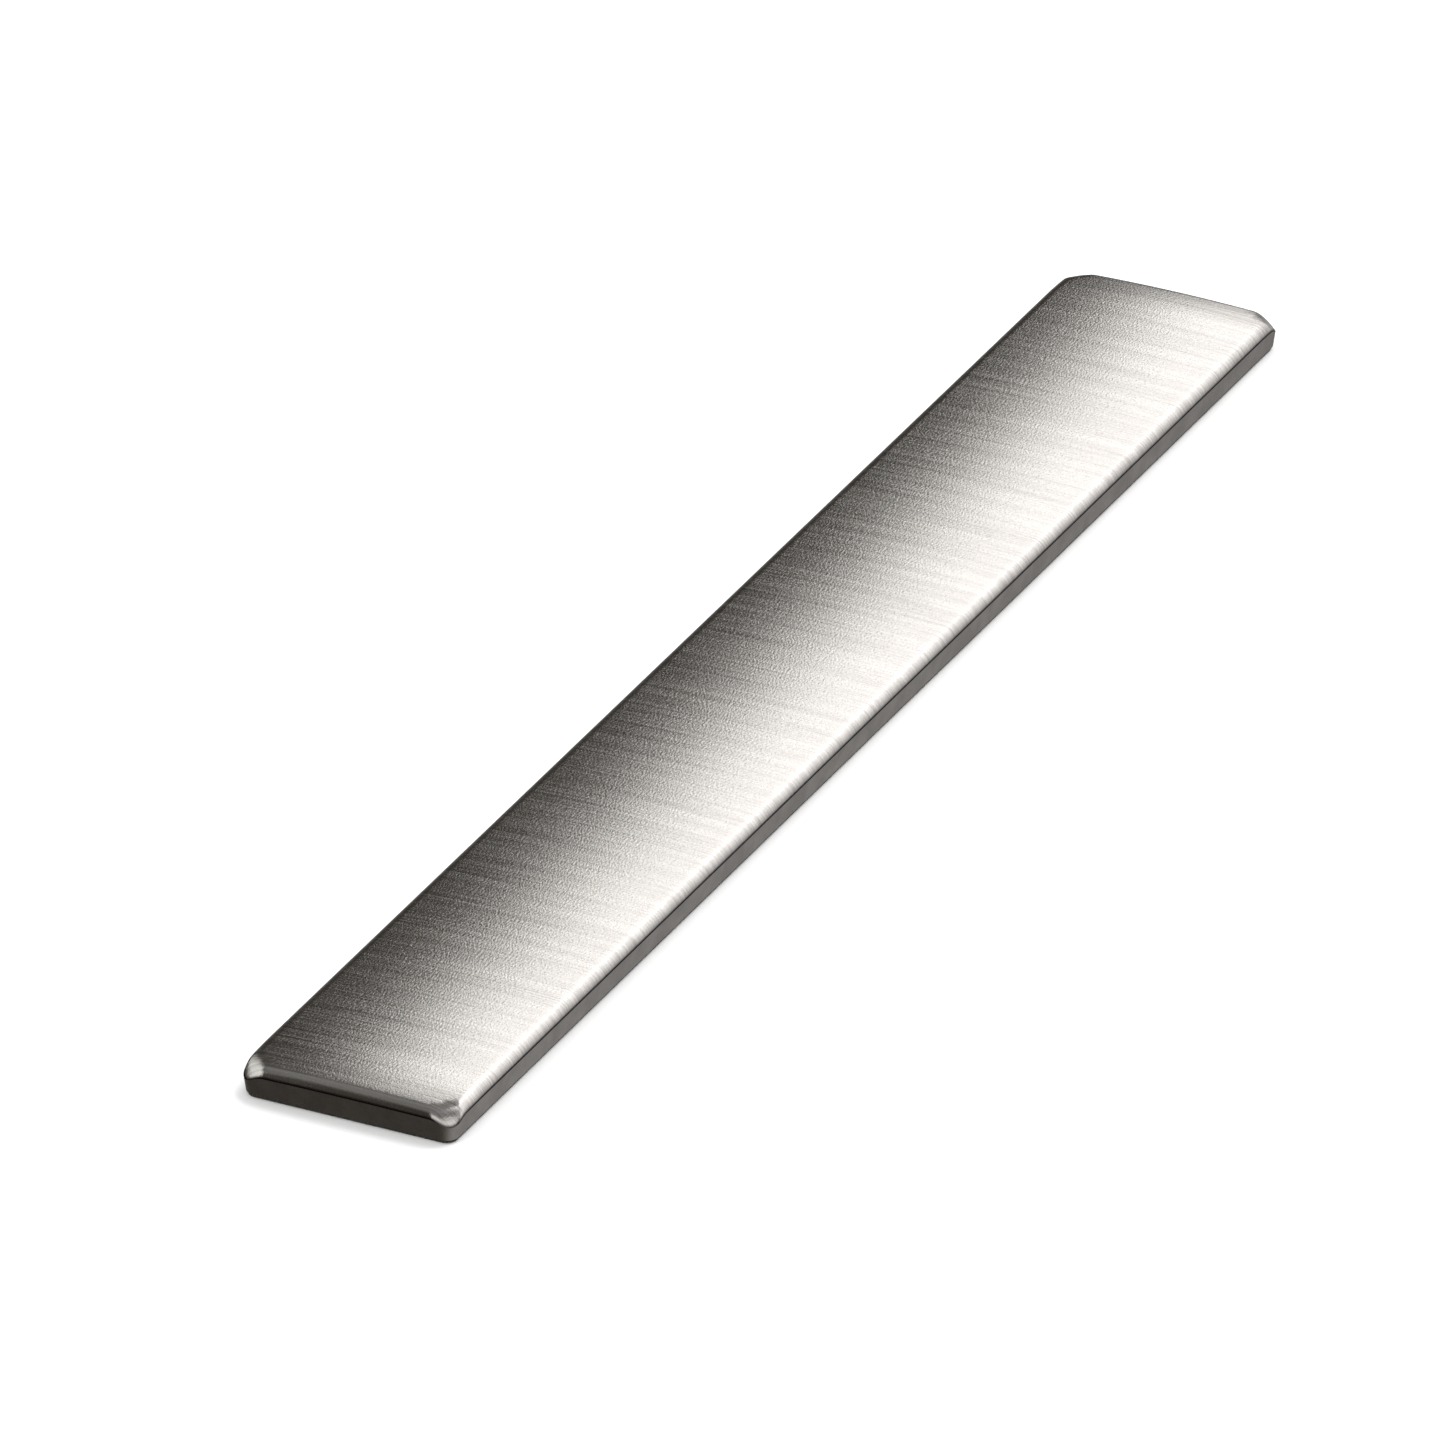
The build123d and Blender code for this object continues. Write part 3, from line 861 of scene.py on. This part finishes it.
def light_tent():
    """Sphere round the plate: x, y, z = radius times the unit vector of two angles on a grid."""
    turn = np.linspace(0, 2 * math.pi, TENT_TURNS + 1)[:-1]
    lift = np.linspace(-math.pi / 2, math.pi / 2, TENT_ROWS)
    t, e = np.meshgrid(turn, lift)
    points = np.stack([np.cos(t) * np.cos(e), np.sin(t) * np.cos(e), np.sin(e)], axis=-1)
    faces = ring_faces(TENT_ROWS, TENT_TURNS)
    tent = mesh_object("light_tent", points.reshape(-1, 3) * TENT_RADIUS, faces)
    tent.data.materials.append(tent_cloth())
    only_reflections(tent)


def area_lamp(name, place, size, power):
    """A square soft lamp aimed at the plate; it lights the matt pieces and the floor, not the
    reflections."""
    data = bpy.data.lights.new(name, "AREA")
    data.size = size
    data.energy = power
    lamp = bpy.data.objects.new(name, data)
    bpy.context.scene.collection.objects.link(lamp)
    lamp.location = place
    lamp.rotation_mode = "QUATERNION"
    lamp.rotation_quaternion = Vector(place).to_track_quat("Z", "Y")
    lamp.visible_glossy = False


def white_world():
    """World: white behind the scene and in reflections, and a plain even light on everything
    else."""
    world = bpy.data.worlds.new("studio")
    bpy.context.scene.world = world
    world.use_nodes = True
    tree = world.node_tree
    tree.nodes.clear()
    path = add(tree, "ShaderNodeLightPath")
    seen = path.outputs["Is Camera Ray"]
    for kind in ("Is Glossy Ray", "Is Transmission Ray"):
        either = {0: seen, 1: path.outputs[kind]}
        seen = add(tree, "ShaderNodeMath", either, operation="MAXIMUM").outputs[0]
    strength = add(tree, "ShaderNodeMapRange", {0: seen, 3: WORLD_FILL, 4: WORLD_SEEN}).outputs[0]
    glow = add(tree, "ShaderNodeBackground", {"Color": (1, 1, 1, 1), "Strength": strength})
    add(tree, "ShaderNodeOutputWorld", {"Surface": glow.outputs[0]})


class PLATE_OT_stage(PlateOperator, bpy.types.Operator):
    """Sets up the pale floor, the soft lamps, the light tent, the world and the camera"""

    bl_idname = "door_plate.stage"
    bl_label = "Studio"

    def execute(self, context):
        floor = stage_plane("floor", FLOOR_HALF, GASKET_LOW[2] - FLOOR_GAP)
        floor.data.materials.append(floor_paint(context.scene.plate_finishes.floor))
        floor.visible_glossy = False
        light_tent()
        area_lamp("key_lamp", place=(0.9, -0.5, 1.6), size=1.2, power=26.0)
        area_lamp("fill_lamp", place=(-1.0, 0.9, 1.6), size=1.6, power=14.0)
        white_world()
        aim_camera()
        context.scene.view_settings.view_transform = "Standard"
        return {"FINISHED"}


class PLATE_PT_panel(bpy.types.Panel):
    """Door plate panel"""

    bl_idname = "PLATE_PT_panel"
    bl_label = "Door Plate"
    bl_space_type = "VIEW_3D"
    bl_region_type = "UI"
    bl_category = "Door Plate"

    def draw(self, context):
        for group in (context.scene.plate_sizes, context.scene.plate_finishes):
            column = self.layout.column(align=True)
            for name in group.__annotations__:
                column.prop(group, name)
        column = self.layout.column(align=True)
        for maker in BUILDERS:
            column.operator(maker.bl_idname)


BUILDERS = (
    PLATE_OT_cover,
    PLATE_OT_gasket,
    PLATE_OT_rail,
    PLATE_OT_clips,
    PLATE_OT_pads,
    PLATE_OT_locators,
    PLATE_OT_stage,
)
CLASSES = (PlateSizes, PlateFinishes, *BUILDERS, PLATE_PT_panel)


def register():
    """Registers the classes and puts the settings on the scene."""
    for item in CLASSES:
        bpy.utils.register_class(item)
    bpy.types.Scene.plate_sizes = PointerProperty(type=PlateSizes)
    bpy.types.Scene.plate_finishes = PointerProperty(type=PlateFinishes)


def unregister():
    """Takes the settings and the classes away again."""
    del bpy.types.Scene.plate_finishes
    del bpy.types.Scene.plate_sizes
    for item in reversed(CLASSES):
        bpy.utils.unregister_class(item)


def main():
    """Builds every piece and the studio."""
    register()
    for maker in BUILDERS:
        group, call = maker.bl_idname.split(".")
        getattr(getattr(bpy.ops, group), call)()


if __name__ == "__main__":
    main()
